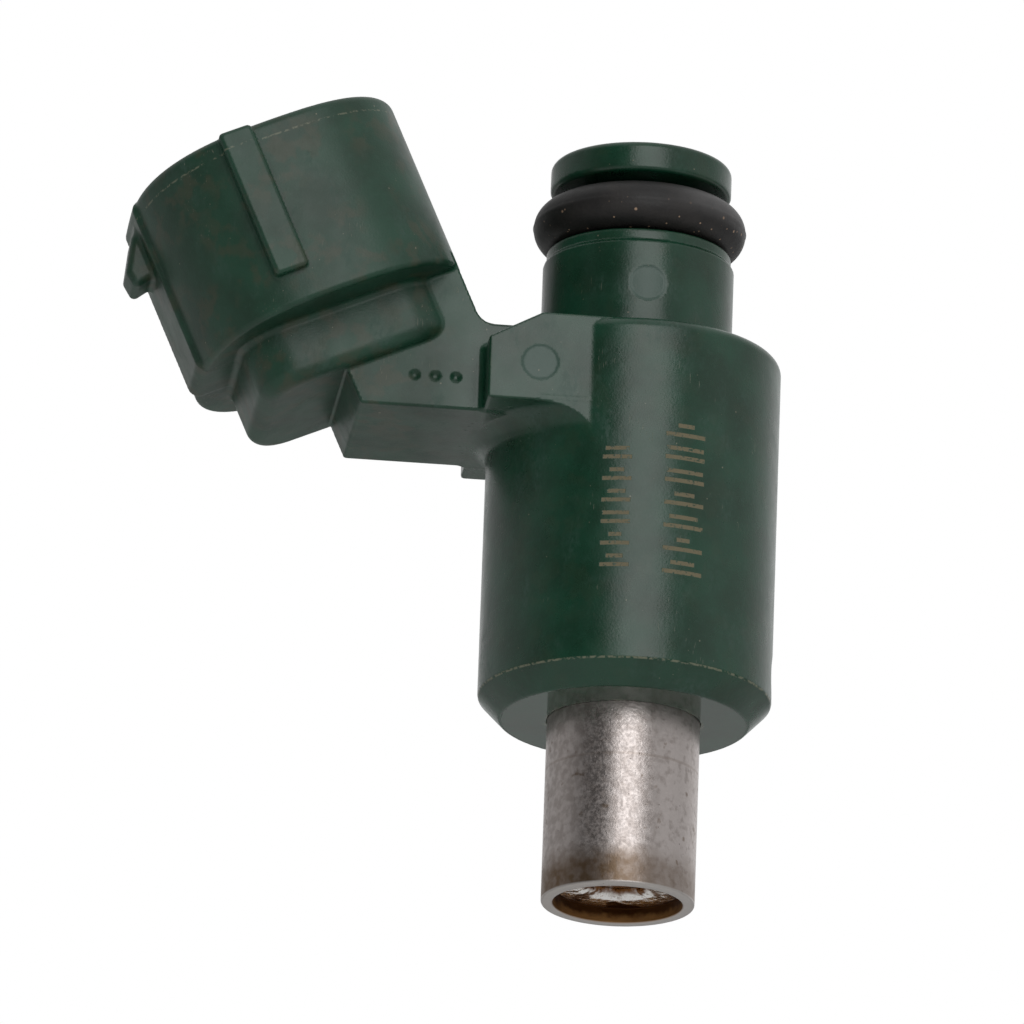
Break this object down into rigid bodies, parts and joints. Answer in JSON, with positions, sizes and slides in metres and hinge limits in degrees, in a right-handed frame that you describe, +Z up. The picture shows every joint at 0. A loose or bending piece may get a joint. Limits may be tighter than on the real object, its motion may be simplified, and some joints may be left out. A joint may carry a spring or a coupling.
{
  "type": "fuel injector",
  "caption": "Top-feed electromagnetic fuel injector: dark green moulded body, leaning oval plug socket, O-ring at the inlet and a bare steel nozzle tube.",
  "frame": {"origin": "centre of the nozzle tube's tip, on the injector's axis", "axes": "+Z up the injector's axis towards the fuel inlet, connector arm towards -X, the XZ plane is the mid-plane"},
  "size_m": [0.0341, 0.0174, 0.0412],
  "materials": {
    "green_resin": "dark green glass-filled nylon, satin, with worn pale edges",
    "nitrile_rubber": "matt black moulded rubber",
    "filter_brass": "drawn brass",
    "filter_plastic": "natural white nylon",
    "filter_gauze": "fine woven nylon gauze",
    "plain_steel": "ground stainless steel",
    "spring_steel": "drawn spring wire",
    "core_steel": "turned soft magnetic steel, plated",
    "stainless_sleeve": "turned non-magnetic stainless steel",
    "bobbin_plastic": "black glass-filled nylon",
    "enamelled_copper": "enamelled copper wire",
    "tinned_terminal": "tin-plated copper alloy",
    "stained_stainless": "satin stainless steel with brown fuel varnish at the tip",
    "polished_steel": "polished stainless steel"
  },
  "bodies": {
    "injector": {"resin_housing": "green_resin", "inlet_o_ring": "nitrile_rubber", "filter_ring": "filter_brass", "filter_frame": "filter_plastic", "filter_mesh": "filter_gauze", "adjuster_sleeve": "plain_steel", "return_spring": "spring_steel", "stator_core": "core_steel", "nonmagnetic_sleeve": "stainless_sleeve", "coil_bobbin": "bobbin_plastic", "coil_winding": "enamelled_copper", "coil_yoke": "core_steel", "yoke_washer": "core_steel", "lead_front": "enamelled_copper", "lead_rear": "enamelled_copper", "terminal_front": "tinned_terminal", "terminal_rear": "tinned_terminal", "nozzle_tube": "stained_stainless", "guide_disc": "plain_steel", "valve_seat": "plain_steel", "orifice_plate": "polished_steel", "backup_washer": "polished_steel"},
    "valve": {"armature": "core_steel", "needle_tube": "plain_steel", "valve_ball": "polished_steel"}
  },
  "joints": [
    {"name": "needle_lift", "type": "slide", "parent": "injector", "child": "valve", "axis": [0, 0, 1], "range_m": [0, 0.00008], "stiffness_N_per_m": 2500, "springref_m": -0.002, "deforming": ["return_spring"]}
  ]
}
